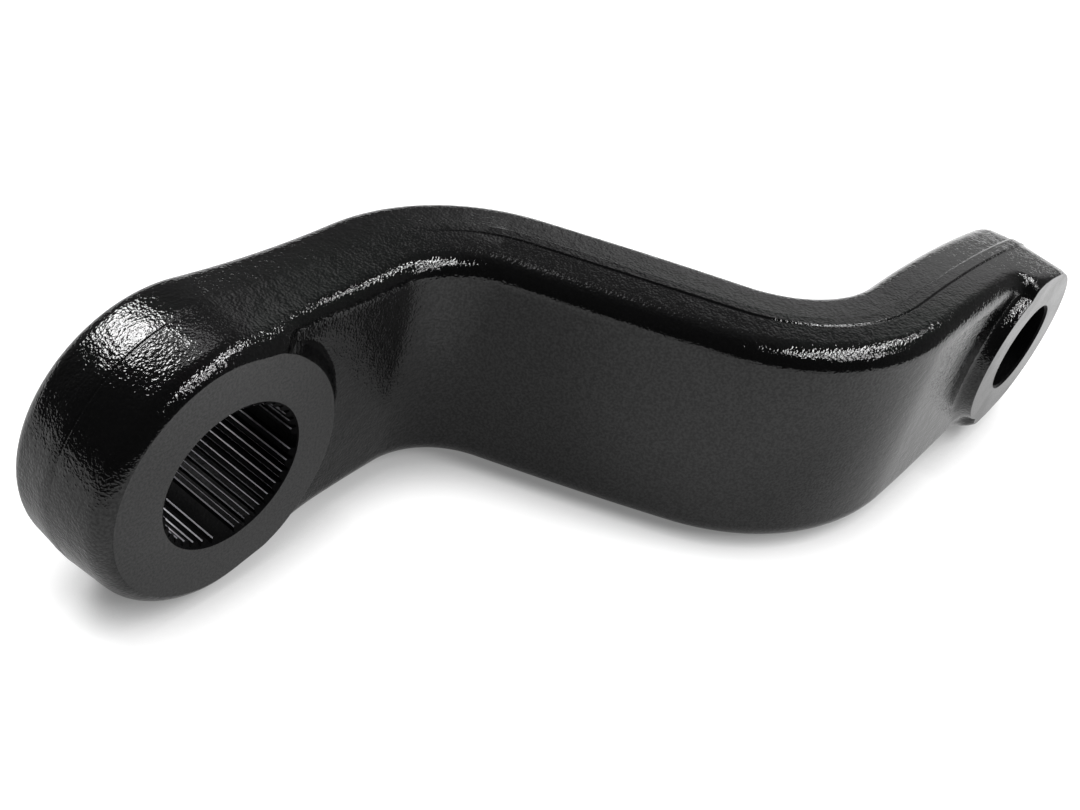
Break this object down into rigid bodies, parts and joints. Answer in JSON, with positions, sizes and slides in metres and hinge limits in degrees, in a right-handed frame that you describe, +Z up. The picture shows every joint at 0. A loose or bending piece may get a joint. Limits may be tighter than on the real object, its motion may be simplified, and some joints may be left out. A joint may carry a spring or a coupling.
{
  "type": "pitman arm",
  "caption": "Forged steel drop pitman arm: an S-shaped arm with a serrated hub bore at its large end and a tapered stud hole at its small end.",
  "frame": {"origin": "on the axis of the hub bore, in the machined face of the hub", "axes": "+X from the hub towards the stud end, +Y along the hub bore away from the machined faces, +Z up across the arm's width, with the arm lying on its narrow edge"},
  "size_m": [0.2327, 0.1088, 0.0626],
  "materials": {
    "coated_steel": "gloss"
  },
  "bodies": {
    "root": {"pitman_arm": "coated_steel"}
  },
  "joints": []
}
